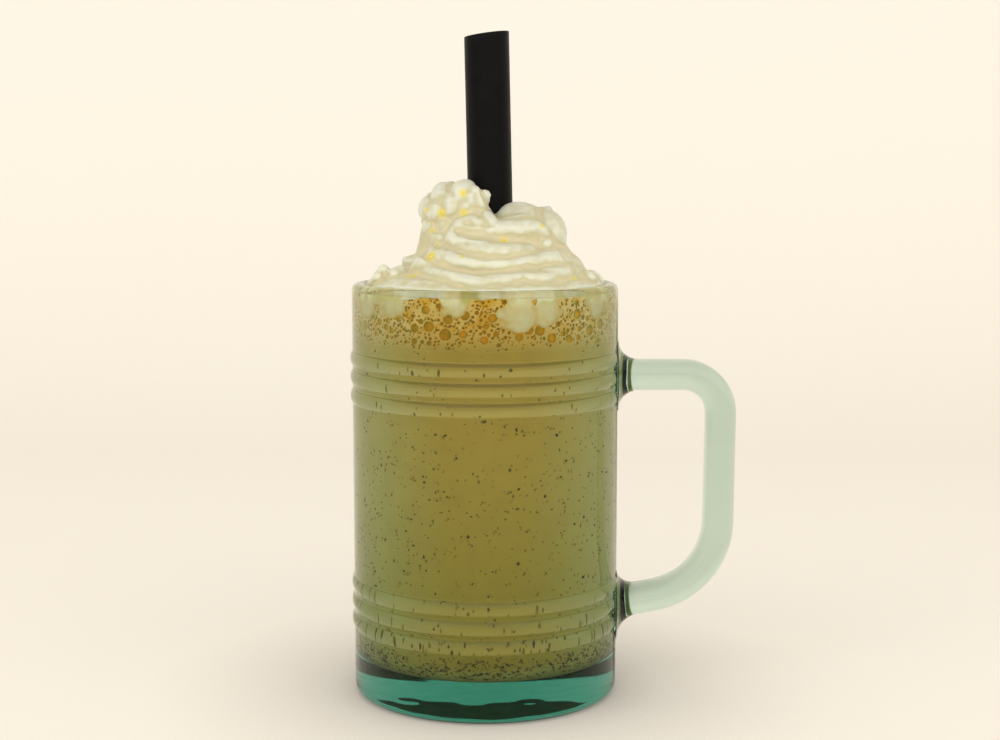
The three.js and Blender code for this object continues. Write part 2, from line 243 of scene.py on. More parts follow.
def capped(rings, ends):
    """Points and faces over an array of rings, closed by a fan to a point at each end."""
    count, sides = rings.shape[:2]
    faces = grid_faces(count, sides)
    first, last = count * sides, count * sides + 1
    top = (count - 1) * sides
    for j in range(sides):
        beside = (j + 1) % sides
        faces.append((first, beside, j))
        faces.append((last, top + j, top + beside))
    return rings.reshape(-1, 3).tolist() + ends, faces


def turned(profile, sides):
    """Points and faces of a profile of (radius, height) turned about Z, closed at its ends on the axis."""
    profile = np.asarray(profile, float)
    angles = np.linspace(0, 2 * np.pi, sides, endpoint=False)
    body = profile[1:-1]
    x = body[:, :1] * np.cos(angles)
    y = body[:, :1] * np.sin(angles)
    z = np.repeat(body[:, 1:], sides, axis=1)
    return capped(np.stack([x, y, z], axis=-1), [[0, 0, profile[0, 1]], [0, 0, profile[-1, 1]]])


def lofted(rings):
    """Points and faces over an array of rings, closed at the middles of the end rings."""
    return capped(rings, [rings[0].mean(axis=0).tolist(), rings[-1].mean(axis=0).tolist()])


def joined(parts):
    """One set of points and faces from several."""
    points, faces = [], []
    for more_points, more_faces in parts:
        start = len(points)
        points += list(more_points)
        faces += [tuple(start + i for i in face) for face in more_faces]
    return points, faces


def arc(centre, radius, start, end, steps):
    """Points of an arc, angles in degrees."""
    angles = np.radians(np.linspace(start, end, steps + 1))
    return [(centre[0] + radius * math.cos(a), centre[1] + radius * math.sin(a)) for a in angles]


def apply_modifiers(piece):
    """Replaces a piece's mesh by its evaluated one."""
    depsgraph = bpy.context.evaluated_depsgraph_get()
    mesh = bpy.data.meshes.new_from_object(piece.evaluated_get(depsgraph))
    piece.modifiers.clear()
    old = piece.data
    piece.data = mesh
    bpy.data.meshes.remove(old)
    mesh.polygons.foreach_set("use_smooth", [True] * len(mesh.polygons))


def boolean(piece, other, operation):
    """Joins or cuts a piece with another, which is then removed."""
    modifier = piece.modifiers.new("boolean", "BOOLEAN")
    modifier.object = other
    modifier.operation = operation
    modifier.solver = "MANIFOLD"
    apply_modifiers(piece)
    bpy.data.objects.remove(other)


def vertex_array(mesh):
    """A mesh's vertices in millimetres."""
    flat = np.empty(len(mesh.vertices) * 3)
    mesh.vertices.foreach_get("co", flat)
    return flat.reshape(-1, 3) / MM


def set_vertices(mesh, points):
    mesh.vertices.foreach_set("co", (points * MM).ravel())
    mesh.update()


def set_attribute(mesh, name, values):
    attribute = mesh.attributes.new(name, "FLOAT", "POINT")
    attribute.data.foreach_set("value", np.asarray(values, np.float32))


# Glass mug


def inner_radius(height):
    """Radius of the mug's hollow at a height above its floor fillet."""
    return INNER_FLOOR + (INNER_TOP - INNER_FLOOR) * (height - MUG_FLOOR) / (MUG_HEIGHT - MUG_FLOOR)


def ring_band(middle):
    """Outside profile of a band of soft raised rings."""
    half = RING["width"] / 2
    bow = (half ** 2 + RING["rise"] ** 2) / (2 * RING["rise"])
    reach = (RING["count"] - 1) / 2 * RING["pitch"] + half + RING["margin"]
    heights = np.linspace(middle - reach, middle + reach, RING["steps"])
    rise = np.zeros_like(heights)
    for i in range(RING["count"]):
        away = np.abs(heights - middle - (i - (RING["count"] - 1) / 2) * RING["pitch"])
        rise += np.sqrt(bow ** 2 - np.minimum(away, half) ** 2) - (bow - RING["rise"])
    return list(zip(MUG_RADIUS + rise, heights))


def hollow_profile(grow):
    """The hollow's outline from the axis to the end of the floor fillet, grown into the glass."""
    corner = inner_radius(MUG_FLOOR + MUG_FILLET)
    centre = (corner - MUG_FILLET, MUG_FLOOR + MUG_FILLET)
    return [(0, MUG_FLOOR - grow)] + arc(centre, MUG_FILLET + grow, -90, 0, 16)


def mug_profile():
    inside = hollow_profile(0) + [(inner_radius(h), h) for h in np.linspace(20, MUG_HEIGHT - LIP - 1, 12)]
    share = np.linspace(0, 1, 24)
    outside = list(zip(PUSH_UP["radius"] * share, PUSH_UP["depth"] * (1 - share ** 2) ** 1.3))
    outside += arc((MUG_RADIUS - MUG_HEEL, MUG_HEEL), MUG_HEEL, -90, 0, 16)
    outside += ring_band(RING["lower"])
    outside += ring_band(RING["upper"])
    outside += arc((MUG_RADIUS - LIP, MUG_HEIGHT - LIP), LIP, 0, 180, 20)
    return outside + inside[::-1]


def handle_line(steps):
    """Points and directions along the handle's middle line in the XZ plane, closer together near the wall."""
    corners = [np.array(corner) for corner in HANDLE_CORNERS]
    points = [corners[0]]
    for i, radius in enumerate(HANDLE_BENDS):
        corner = corners[i + 1]
        back = (corners[i] - corner) / np.linalg.norm(corners[i] - corner)
        onward = (corners[i + 2] - corner) / np.linalg.norm(corners[i + 2] - corner)
        half = math.acos(back @ onward) / 2
        middle = (back + onward) / np.linalg.norm(back + onward)
        centre = corner + middle * radius / math.sin(half)
        ends = [corner + way * radius / math.tan(half) - centre for way in (back, onward)]
        start, end = (math.degrees(math.atan2(way[1], way[0])) for way in ends)
        points += [np.array(point) for point in arc(centre, radius, start, start - (start - end) % 360, 60)]
    points.append(corners[3])
    points = np.array(points)
    lengths = np.concatenate([[0], np.cumsum(np.linalg.norm(np.diff(points, axis=0), axis=1))])
    even = np.linspace(0, 1, steps + 1)
    along = (even - 0.6 * np.sin(2 * np.pi * even) / (2 * np.pi)) * lengths[-1]
    line = np.stack([np.interp(along, lengths, points[:, k]) for k in (0, 1)], axis=1)
    ways = np.gradient(line, axis=0)
    return line, ways / np.linalg.norm(ways, axis=1, keepdims=True)


def handle_rings():
    """Sections of the handle, swelling into the wall with a fillet."""
    line, ways = handle_line(GRIP["steps"])
    angles = np.linspace(0, 2 * np.pi, GRIP["sides"], endpoint=False)
    power = 2 / GRIP["squareness"]
    thick = GRIP["half_thick"] * np.sign(np.cos(angles)) * np.abs(np.cos(angles)) ** power
    deep = -GRIP["half_depth"] * np.sign(np.sin(angles)) * np.abs(np.sin(angles)) ** power
    rings = []
    for point, way in zip(line, ways):
        share = np.clip((point[0] - MUG_RADIUS) / (2 * GRIP["fillet"]), 0, 1)
        near = 1 - share * share * (3 - 2 * share)
        across = np.array([-way[1], way[0]]) * (1 - near) + np.array([0, np.sign(way[0])]) * near
        across /= np.linalg.norm(across)
        offset = np.stack([across[0] * thick, deep, across[1] * thick], axis=1)
        distance = np.hypot(point[0] + offset[:, 0], offset[:, 1]) - MUG_RADIUS
        left = np.clip(GRIP["fillet"] - distance, 0, GRIP["fillet"])
        flare = GRIP["fillet"] - np.sqrt(GRIP["fillet"] ** 2 - left ** 2)
        size = np.linalg.norm(offset, axis=1, keepdims=True)
        rings.append([point[0], 0, point[1]] + offset * (1 + flare[:, None] / size))
    rings = np.array(rings)
    rings[[0, -1], :, 0] = HANDLE_CORNERS[0][0]
    return rings


def smooth_joint_normals(piece, sources):
    """Gives a joined mesh the smooth normals of the surfaces it came from, and their mean on the seam."""
    trees = []
    for points, normals in sources:
        tree = KDTree(len(points))
        for i, point in enumerate(points):
            tree.insert(point, i)
        tree.balance()
        trees.append((tree, normals))
    normals = []
    for vertex in piece.data.vertices:
        found = [(tree.find(vertex.co), source) for tree, source in trees]
        exact = [source[hit[1]] for hit, source in found if hit[2] < 1e-7]
        near = exact or [source[hit[1]] for hit, source in found]
        normals.append(sum(near, Vector()).normalized())
    piece.data.normals_split_custom_set_from_vertices(normals)


def ripple_underside(points):
    """Points of the mug with its hollowed underside slightly uneven, as pressed glass is."""
    points = np.array(points)
    x, y = points[:, 0], points[:, 1]
    inward = np.clip(1 - np.hypot(x, y) / PUSH_UP["radius"], 0, 1)
    under = (points[:, 2] <= PUSH_UP["depth"]) & (inward > 0)
    pace = PUSH_UP["pace"]
    wave = np.sin(pace * x) * np.sin(1.3 * pace * y + 1) + np.sin(0.6 * pace * (x + y))
    points[:, 2] += np.where(under, PUSH_UP["ripple"] * np.minimum(1, 4 * inward) * (1 + wave / 2), 0)
    return points


def make_glass():
    points, faces = turned(mug_profile(), MUG_SIDES)
    body = mesh_object("glass_mug_body", ripple_underside(points), faces)
    handle = mesh_object("glass_handle", *lofted(handle_rings()))
    sources = []
    for part in (body, handle):
        part.data.update()
        vertices = part.data.vertices
        sources.append(([v.co.copy() for v in vertices], [v.normal.copy() for v in vertices]))
    boolean(body, handle, "UNION")
    smooth_joint_normals(body, sources)
    return body


# Drink


def foam_bubbles():
    """Seeded bubbles pressed against the glass: place along the wall, height and radius."""
    round_wall = 2 * math.pi * inner_radius(FOAM["bottom"])
    bubbles = []
    for count, small, large, low, high in FOAM_BUBBLES:
        for _ in range(count):
            radius = rng.uniform(small, large)
            height = low + (high - low) * rng.beta(1.7, 2.0)
            bubbles.append((rng.uniform(0, round_wall), height, radius))
    kept = []
    half = round_wall / 2
    for s, h, r in bubbles:
        clear = all(
            math.hypot((s - t + half) % round_wall - half, h - k) > BUBBLE["spacing"] * (r + q)
            for t, k, q in kept
        )
        if clear:
            kept.append((s, h, r))
    return kept, round_wall


def rows_round(radius, heights, columns):
    """Rows of points round the axis, one for each height, with a radius for each row or each point."""
    angles = 2 * np.pi * np.arange(columns) / columns
    z = np.repeat(heights[:, None], columns, axis=1)
    return np.stack([radius * np.cos(angles), radius * np.sin(angles), z], axis=-1)


def foam_band():
    """The drink's top band, dimpled by its bubbles: points, faces and each point's painted shade in a bubble.
    """
    bubbles, round_wall = foam_bubbles()
    columns = int(round_wall / FOAM["step"])
    heights = np.arange(FOAM["bottom"], FOAM["top"], FOAM["step"])
    places = np.arange(columns) * round_wall / columns
    depth = np.zeros((len(heights), columns))
    inside = np.zeros_like(depth)
    for s, h, r in bubbles:
        rows = np.nonzero(np.abs(heights - h) <= r)[0]
        away = np.abs((places - s + round_wall / 2) % round_wall - round_wall / 2)
        sides = np.nonzero(away <= r)[0]
        if not len(rows) or not len(sides):
            continue
        gap = np.hypot(away[sides][None, :], (heights[rows] - h)[:, None]) / r
        # Painted shade in the bubbles: darker in small bubbles and towards each bubble's rim
        dark = np.clip(1.15 - r, 0.3, 0.8)
        bowl = np.sqrt(np.clip(1 - gap ** 2, 0, 1))
        window = np.ix_(rows, sides)
        depth[window] = np.maximum(depth[window], min(BUBBLE["hollow"] * r, BUBBLE["deepest"]) * bowl)
        shade = dark + 0.6 * (1 - dark) * np.clip(gap, 0, 1) ** 4
        inside[window] = np.maximum(inside[window], np.where(gap < 1, shade, 0))
    outer = rows_round(inner_radius(heights)[:, None] + DRINK_INTO_WALL - depth, heights, columns)
    ends = heights[[-1, 0]]
    inner = rows_round(inner_radius(ends)[:, None] - FOAM["thick"], ends, columns)
    loop = np.concatenate([outer, inner], axis=0)
    faces = grid_faces(len(loop), columns, closed_rows=True)
    shades = np.concatenate([inside, np.zeros((2, columns))], axis=0).ravel()
    return loop.reshape(-1, 3).tolist(), faces, shades


def drink_profile():
    """The drink's outside below its foam, reaching a little into the glass."""
    grow = DRINK_INTO_WALL
    top = FOAM["bottom"] + 0.1
    heights = [*np.linspace(MUG_FLOOR + MUG_FILLET + 3, top - 0.2, 40), top - 0.05, top]
    return hollow_profile(grow) + [(inner_radius(h) + grow, h) for h in heights] + [(0, top)]


def make_drink():
    below = turned(drink_profile(), MUG_SIDES)
    foam_points, foam_faces, inside = foam_band()
    points, faces = joined([below, (foam_points, foam_faces)])
    piece = mesh_object("drink_body", points, faces)
    set_attribute(piece.data, "bubble", np.concatenate([np.zeros(len(below[0])), inside]))
    return piece


def speck_places():
    """Seeded flakes at the wall: bearing, height, radius and how deep in the drink they look."""
    places = []
    for count, low, high, small, large, clearest, faintest in SPECKS:
        for _ in range(count):
            height = low + (high - low) * rng.beta(1.0, 1.3)
            bearing = rng.uniform(0, 2 * np.pi)
            places.append((bearing, height, rng.uniform(small, large), rng.uniform(clearest, faintest)))
    return places


def wall_point(bearing, height, grow):
    """A point of the hollow's wall or floor fillet, grown into the glass, with its outward direction."""
    corner = MUG_FLOOR + MUG_FILLET
    tilt = 0.0
    radius = inner_radius(height) + grow
    if height < corner:
        tilt = math.asin(min(1, (corner - height) / MUG_FILLET))
        radius = inner_radius(corner) - MUG_FILLET + (MUG_FILLET + grow) * math.cos(tilt)
        height = corner - (MUG_FILLET + grow) * math.sin(tilt)
    flat = np.array([math.cos(bearing), math.sin(bearing), 0])
    outward = flat * math.cos(tilt) - np.array([0, 0, math.sin(tilt)])
    return flat * radius + np.array([0, 0, height]), outward


def make_specks():
    """Irregular thin flakes on the drink's outside, in one piece."""
    corners = FLAKE["corners"]
    parts, veils = [], []
    for bearing, height, radius, veil in speck_places():
        middle, outward = wall_point(bearing, height, SPECK_INTO_WALL)
        across = np.array([-math.sin(bearing), math.cos(bearing), 0])
        up = np.cross(outward, across)
        turns = (np.arange(corners) + rng.uniform(-0.4, 0.4, corners)) * 2 * np.pi / corners
        reach = radius * rng.uniform(*FLAKE["ragged"], corners)
        stretch = rng.uniform(*FLAKE["stretch"])
        sideways = np.outer(reach * np.cos(turns) * stretch, across)
        rim = middle + sideways + np.outer(reach * np.sin(turns) / stretch, up)
        hub = rim.mean(axis=0)
        points = np.concatenate([rim, [hub + FLAKE["proud"] * outward, hub - FLAKE["sunk"] * outward]])
        faces = []
        for j in range(corners):
            beside = (j + 1) % corners
            faces += [(corners, j, beside), (corners + 1, beside, j)]
        parts.append((points.tolist(), faces))
        veils += [veil] * len(points)
    piece = mesh_object("drink_specks", *joined(parts), smooth=False)
    set_attribute(piece.data, "veil", veils)
    return piece


# Cream


def lobe_list():
    lobes = list(FRONT_LOBES)
    for i in range(BACK_LOBES["count"]):
        sway = math.sin(BACK_SWAY["pace"] * i)
        bearing = BACK_LOBES["first"] + BACK_LOBES["step"] * i + BACK_SWAY["bearing"] * sway
        radius = BACK_LOBES["radius"] + BACK_SWAY["radius"] * sway
        lobes.append((bearing, radius, BACK_LOBES["lowest"] + BACK_SWAY["lowest"] * sway))
    return lobes


def ball(centre, size, rings=16, sides=24):
    """Points and faces of a stretched ball."""
    heights = np.linspace(-np.pi / 2, np.pi / 2, rings)
    points, faces = turned(np.stack([np.cos(heights), np.sin(heights)], axis=1), sides)
    return (np.array(points) * size + centre).tolist(), faces


def smoothed(values, width):
    """A row of values run through a soft window of an odd width."""
    window = np.hanning(width)
    padded = np.pad(values, width // 2, mode="edge")
    return np.convolve(padded, window / window.sum(), mode="valid")


def rope_rings(stations):
    """Ridged sections along a wound rope of cream, rounded off at both ends."""
    first, last = stations[0, 0], stations[-1, 0]
    turn = np.linspace(first, last, int(ROPE["steps"] * (last - first)))
    values = (np.interp(turn, stations[:, 0], column) for column in stations.T[1:])
    out, height, radius, groove = (smoothed(value, ROPE["soft"]) for value in values)
    waves = sum(swell * np.sin(2 * np.pi * turn * pace + shift) for swell, pace, shift in ROPE_WAVES)
    radius = radius * (1 + waves)
    taper = ROPE["taper"]
    ends = np.clip((turn[-1] - turn) / taper, 0, 1) * np.clip((turn - turn[0]) / taper + 0.02, 0, 1)
    radius = radius * np.sqrt(1 - (1 - ends) ** 2)
    angle = 2 * np.pi * turn - np.pi / 2
    outward = np.stack([np.cos(angle), np.sin(angle), np.zeros_like(angle)], axis=1)
    axis = np.stack([np.full_like(turn, SWIRL_X), np.zeros_like(turn), height], axis=1)
    middle = outward * out[:, None] + axis
    way = np.gradient(middle, axis=0)
    way /= np.linalg.norm(way, axis=1, keepdims=True)
    side = outward - way * (outward * way).sum(axis=1, keepdims=True)
    side /= np.linalg.norm(side, axis=1, keepdims=True)
    rise = np.cross(way, side)
    around = np.linspace(0, 2 * np.pi, ROPE["sides"], endpoint=False)[None, :]
    ridge = np.abs(np.sin(ROPE["ridges"] / 2 * (around - ROPE["start"] - ROPE["twist"] * turn[:, None])))
    facing = np.clip(0.3 - 1.2 * np.sin(angle), 0, 1)[:, None]
    deep = groove[:, None] * (1 - (1 - FRONT_GROOVES) * facing)
    even = groove[:, None] * (1 - FRONT_GROOVES) * facing / 2
    reach = radius[:, None] * (1 - even - deep * ridge ** ROPE["sharp"])
    rings = middle[:, None, :] + side[:, None, :] * (reach * np.cos(around))[..., None]
    return rings + rise[:, None, :] * (reach * np.sin(around))[..., None]


def small_ball(centre, radius):
    return ball(centre, np.full(3, radius), rings=9, sides=12)


def front_relief(base):
    """Rolls and lumps laid where the lines of sight through their pixels meet the swirl."""
    points, faces = joined(base)
    tree = BVHTree.FromPolygons([Vector(p) for p in points], faces)

    def met(place):
        start, way = camera_ray(place)
        found = tree.ray_cast(start / MM, way)[0]
        return np.array(found) if found else None

    sight = np.array([0, 1, 0])
    parts = []
    for stand, edge in FOLDS:
        steps = np.linspace(0, len(edge) - 1, 16 * len(edge))
        across, down = (np.interp(steps, range(len(edge)), line) for line in zip(*edge))
        for drop, radius, share in FOLD_APRON:
            line = [point for point in map(met, zip(across, down + drop)) if point is not None]
            fade = np.sin(np.linspace(0.05, 0.95, len(line)) * np.pi) ** 0.5
            soft = np.stack([smoothed(row, 15) for row in np.array(line).T], axis=1)
            for point, out in zip(soft, stand * share * fade):
                parts.append(small_ball(point + sight * (radius - out), radius))
    for *place, radius, stand in LUMPS:
        point = met(place)
        if point is not None:
            parts.append(small_ball(point + sight * (radius - stand), radius))
    return parts


def rim_clumps():
    """Uneven clots of cream along the rim: those at the sides, and flatter ones round the back."""
    parts = []
    for *centre, radius in RIM_CLUMPS:
        parts.append(small_ball(np.array(centre), radius))
        for _ in range(CLUMP_BITS["count"]):
            way = rng.normal(size=3)
            bit = np.array(centre) + way / np.linalg.norm(way) * radius * CLUMP_BITS["spread"]
            parts.append(small_ball(bit, radius * rng.uniform(CLUMP_BITS["small"], CLUMP_BITS["large"])))
    for i in range(RIM_DABS["count"]):
        share = (i + rng.uniform(-0.4, 0.4)) / (RIM_DABS["count"] - 1)
        angle = math.radians(RIM_DABS["first"] + (RIM_DABS["last"] - RIM_DABS["first"]) * share)
        size = rng.uniform(RIM_DABS["small"], RIM_DABS["large"], 3) * [1, 1, RIM_DABS["flat"]]
        out = RIM_DABS["out"] + rng.uniform(-2, 2)
        parts.append(ball(np.array([out * math.cos(angle), out * math.sin(angle), RIM_DABS["height"]]), size))
    return parts


def cream_parts():
    wall = inner_radius(CREAM_LEVEL) + CREAM_INTO_WALL
    profile = [(wall - inset, height) for inset, height in CREAM_BED] + CREAM_CORE
    bed = turned([(0, profile[0][1]), *profile, (0, profile[-1][1])], 96)
    parts = [bed, lofted(rope_rings(LOWER_ROPE)), lofted(rope_rings(UPPER_ROPE))]
    for *centre, radius in CREAM_DOMES:
        parts.append(ball(np.array(centre), np.full(3, radius)))
    parts += front_relief(parts) + rim_clumps()
    return parts + wall_lobes()


def wall_lobes():
    """Lobes of cream that hang into the drink along the glass, each with clots at its edges."""
    parts = []
    for bearing, radius, lowest in lobe_list():
        angle = math.radians(bearing)
        out = INNER_TOP - LOBE_BACKED * radius
        centre = np.array([out * math.cos(angle), out * math.sin(angle), lowest + LOBE_STRETCH * radius])
        points, faces = ball(centre, np.array([radius, radius, LOBE_STRETCH * radius]))
        parts.append((np.minimum(points, [MUG_RADIUS, MUG_RADIUS, LOBE_TOP]).tolist(), faces))
        for _ in range(LOBE_CLOTS["count"]):
            turn = angle + rng.uniform(-LOBE_CLOTS["spread"], LOBE_CLOTS["spread"]) * radius / INNER_TOP
            size = rng.uniform(LOBE_CLOTS["small"], LOBE_CLOTS["large"])
            out = inner_radius(lowest) - LOBE_CLOTS["sunk"] * size
            height = lowest + rng.uniform(*LOBE_CLOTS["rise"]) * LOBE_STRETCH * radius
            centre = np.array([out * math.cos(turn), out * math.sin(turn), height])
            parts.append(ball(centre, np.full(3, size)))
    return parts


def press_to_wall(mesh):
    """Flattens what would pass through the glass against the wall."""
    points = vertex_array(mesh)
    away = np.hypot(points[:, 0], points[:, 1])
    foot, gap = LIP_GAP["foot"], LIP_GAP["width"]
    heights = [MUG_HEIGHT / 2, foot, foot + gap, MUG_HEIGHT, MUG_HEIGHT + LIP_GAP["over"]]
    into = [CREAM_INTO_WALL, CREAM_INTO_WALL, -gap, -gap, LIP_GAP["beyond"]]
    limit = inner_radius(points[:, 2]) + np.interp(points[:, 2], heights, into)
    share = np.minimum(1, limit / np.maximum(away, 1e-6))
    points[:, :2] *= share[:, None]
    set_vertices(mesh, points)
    touch = np.clip((away - limit) / CREAM_CONTACT["full"], 0, 1)
    set_attribute(mesh, "contact", touch ** CREAM_CONTACT["power"])


def displace(piece, size, strength):
    texture = bpy.data.textures.new(f"cream_relief_{size}", "CLOUDS")
    texture.noise_scale = size * MM
    modifier = piece.modifiers.new("relief", "DISPLACE")
    modifier.texture = texture
    modifier.texture_coords = "LOCAL"
    modifier.strength = strength * MM
    modifier.mid_level = 0.5


def straw_rod(radius, low, high):
    """A rod on the straw's axis, for cutting."""
    points, faces = turned([(0, low), (radius, low), (radius, high), (0, high)], 72)
    return mesh_object("straw_rod", on_straw_axis(np.array(points)), faces)


def folds(mesh, rounds, full):
    """How far each point stands out of the smoothed surface, from 0 in grooves to 1 on ridges, for painted
    shade.
    """
    points = vertex_array(mesh)
    ends = np.empty(len(mesh.edges) * 2, np.int64)
    mesh.edges.foreach_get("vertices", ends)
    ends = ends.reshape(-1, 2)
    both = np.concatenate([ends, ends[:, ::-1]])
    count = np.maximum(np.bincount(both[:, 0], minlength=len(points)), 1)[:, None]
    smooth = points.copy()
    for _ in range(rounds):
        total = [np.bincount(both[:, 0], smooth[both[:, 1], k], len(points)) for k in range(3)]
        smooth = np.stack(total, axis=1) / count
    normals = np.empty(len(points) * 3)
    mesh.vertices.foreach_get("normal", normals)
    stand = ((points - smooth) * normals.reshape(-1, 3)).sum(axis=1)
    return np.clip(0.5 + 0.5 * stand / full, 0, 1)


def make_cream():
    piece = mesh_object("cream_swirl", *joined(cream_parts()))
    remesh = piece.modifiers.new("remesh", "REMESH")
    remesh.mode = "VOXEL"
    remesh.voxel_size = CREAM_VOXEL * MM
    smooth = piece.modifiers.new("smooth", "SMOOTH")
    smooth.factor = 0.5
    smooth.iterations = 2
    for size, strength in CREAM_RELIEF:
        displace(piece, size, strength)
    apply_modifiers(piece)
    press_to_wall(piece.data)
    boolean(piece, straw_rod(STRAW["radius"] - CREAM_INTO_STRAW, 0, STRAW["top"]), "DIFFERENCE")
    set_attribute(piece.data, "fold", folds(piece.data, **CREAM_FOLDS))
    return piece


def camera_ray(place):
    """Start and direction, in metres, of the line of sight through a pixel of the picture."""
    pitch = math.radians(CAMERA["pitch"])
    right = Vector((1, 0, 0))
    ahead = Vector((0, math.cos(pitch), -math.sin(pitch)))
    up = right.cross(ahead)
    start = Vector([CAMERA[axis] for axis in "xyz"]) * MM
    x, y = (place[k] - PICTURE[k] / 2 for k in (0, 1))
    return start, (ahead * CAMERA["focal_px"] + right * x - up * y).normalized()


def drop_rays():
    """Lines that meet the cream where drops lie: those in the picture, and seeded ones round the back."""
    rays = [(camera_ray(place), radius) for *place, radius in SYRUP_DROPS]
    for i in range(SYRUP_BEHIND["count"]):
        share = (i + rng.uniform(0, 1)) / SYRUP_BEHIND["count"]
        bearing = math.radians(SYRUP_BEHIND["first"] + SYRUP_BEHIND["sweep"] * share)
        lift = rng.uniform(*SYRUP_BEHIND["lift"])
        way = Vector((math.cos(bearing), math.sin(bearing), lift))
        middle = Vector((0, 0, rng.uniform(*SYRUP_BEHIND["height"]) * MM))
        radius = rng.uniform(SYRUP_BEHIND["small"], SYRUP_BEHIND["large"])
        rays.append(((middle + way * (SYRUP_BEHIND["away"] * MM), -way.normalized()), radius))
    return rays


def make_syrup(cream):
    """Yellow drops half sunk in the cream, in one piece, and the stains that they leave round them."""
    tree = BVHTree.FromObject(cream, bpy.context.evaluated_depsgraph_get())
    vertices = vertex_array(cream.data)
    stain = np.zeros(len(vertices))
    parts, veils = [], []
    for (start, way), radius in drop_rays():
        place, normal, _, _ = tree.ray_cast(start, way)
        if place is None:
            continue
        turn = normal.to_track_quat("Z", "Y").to_matrix()
        core = DROP["core"] * radius
        size = core * rng.uniform(*DROP["uneven"], 3) * [1, 1, DROP["flat"]]
        points, faces = ball(np.zeros(3), size, rings=11, sides=18)
        veils += [math.hypot(p[0], p[1]) / core for p in points]
        away = np.linalg.norm(vertices - np.array(place) / MM, axis=1) / (DROP["stain"] * radius)
        stain = np.maximum(stain, np.clip(1 - away, 0, 1))
        parts.append(([list(turn @ Vector(p) + place / MM) for p in points], faces))
    piece = mesh_object("syrup_drops", *joined(parts))
    set_attribute(piece.data, "veil", np.clip(veils, 0, 1))
    set_attribute(cream.data, "stain", stain)
    return piece


# Straw


def on_straw_axis(points):
    """Sets points modelled upright from the origin on the straw's leaning axis."""
    way = np.array([STRAW["top_x"] - STRAW["foot_x"], 0, STRAW["top"] - STRAW["bottom"]])
    way /= np.linalg.norm(way)
    across = np.array([way[2], 0, -way[0]])
    foot = np.array([STRAW["foot_x"], 0, STRAW["bottom"]])
    return foot + points[:, :1] * across + points[:, 1:2] * np.array([0, 1, 0]) + points[:, 2:] * way


def make_straw():
    """A tube with softened edges and a slightly slanted upper end."""
    length = math.hypot(STRAW["top"] - STRAW["bottom"], STRAW["top_x"] - STRAW["foot_x"])
    outer, edge = STRAW["radius"], STRAW["wall"] / 2
    mid = outer - edge
    side = np.linspace(0, length, 60)[1:-1]
    profile = arc((mid, edge), edge, 180, 360, 8)
    profile += [(outer, h) for h in side]
    profile += arc((mid, length - edge), edge, 0, 180, 8)
    profile += [(outer - 2 * edge, h) for h in side[::-1]]
    angles = np.linspace(0, 2 * np.pi, STRAW["sides"], endpoint=False)
    rows = []
    for radius, height in profile:
        x = radius * np.cos(angles)
        lift = STRAW["slant"] * x * max(0, height / length * 2 - 1)
        rows.append(np.stack([x, radius * np.sin(angles), height + lift], axis=1))
    points = on_straw_axis(np.array(rows).reshape(-1, 3))
    return mesh_object("straw_tube", points, grid_faces(len(rows), STRAW["sides"], closed_rows=True))


# Materials


def linear(*srgb):
    """An 8-bit sRGB colour as linear values with alpha."""
    values = [v / 255 for v in srgb]
    return [v / 12.92 if v <= 0.04045 else ((v + 0.055) / 1.055) ** 2.4 for v in values] + [1.0]


def fill_ramp(node, stops):
    """Sets the stops of a colour ramp, each a position and a colour."""
    elements = node.color_ramp.elements
    while len(elements) < len(stops):
        elements.new(0.5)
    for element, (position, colour) in zip(elements, stops):
        element.position = position
        element.color = colour


def fill_range(node, *numbers):
    for name, number in zip(("From Min", "From Max", "To Min", "To Max"), numbers):
        node.inputs[name].default_value = number


class Nodes:
    """A material and short calls that add nodes to it."""

    def __init__(self, name):
        self.material = bpy.data.materials.new(name)
        self.material.use_nodes = True
        self.tree = self.material.node_tree
        self.shader = self.tree.nodes["Principled BSDF"]
        self.output = self.tree.nodes["Material Output"]

    def add(self, kind, **inputs):
        node = self.tree.nodes.new(kind)
        for name, value in inputs.items():
            self.feed(node.inputs[name.replace("_", " ")], value)
        return node

    def feed(self, socket, value):
        if isinstance(value, bpy.types.NodeSocket):
            self.tree.links.new(value, socket)
        else:
            socket.default_value = value

    def set(self, **inputs):
        for name, value in inputs.items():
            self.feed(self.shader.inputs[name.replace("_", " ")], value)

    def place(self):
        return self.add("ShaderNodeTexCoord").outputs["Object"]

    def noise(self, scale, detail=3.0):
        node = self.add("ShaderNodeTexNoise", Vector=self.place(), Scale=scale, Detail=detail)
        return node.outputs["Fac"]

    def ramp(self, value, *stops):
        node = self.add("ShaderNodeValToRGB", Fac=value)
        fill_ramp(node, stops)
        return node.outputs["Color"]

    def level(self, value, low, high, to_low=0.0, to_high=1.0):
        node = self.add("ShaderNodeMapRange", Value=value)
        fill_range(node, low, high, to_low, to_high)
        return node.outputs["Result"]

    def mix(self, share, first, second, blend="MIX"):
        node = self.tree.nodes.new("ShaderNodeMix")
        node.data_type = "RGBA"
        node.blend_type = blend
        for index, value in ((0, share), (6, first), (7, second)):
            self.feed(node.inputs[index], value)
        return node.outputs[2]

    def sum(self, first, second):
        node = self.tree.nodes.new("ShaderNodeMath")
        for socket, value in zip(node.inputs, (first, second)):
            self.feed(socket, value)
        return node.outputs["Value"]

    def fraction(self, value):
        node = self.tree.nodes.new("ShaderNodeMath")
        node.operation = "FRACT"
        self.feed(node.inputs[0], value)
        return node.outputs["Value"]

    def attribute(self, name):
        node = self.tree.nodes.new("ShaderNodeAttribute")
        node.attribute_name = name
        return node.outputs["Fac"]

    def along(self, axis):
        return self.add("ShaderNodeSeparateXYZ", Vector=self.place()).outputs[axis]

    def bump(self, height, strength, distance):
        node = self.add("ShaderNodeBump", Height=height, Strength=strength, Distance=distance)
        self.feed(self.shader.inputs["Normal"], node.outputs["Normal"])


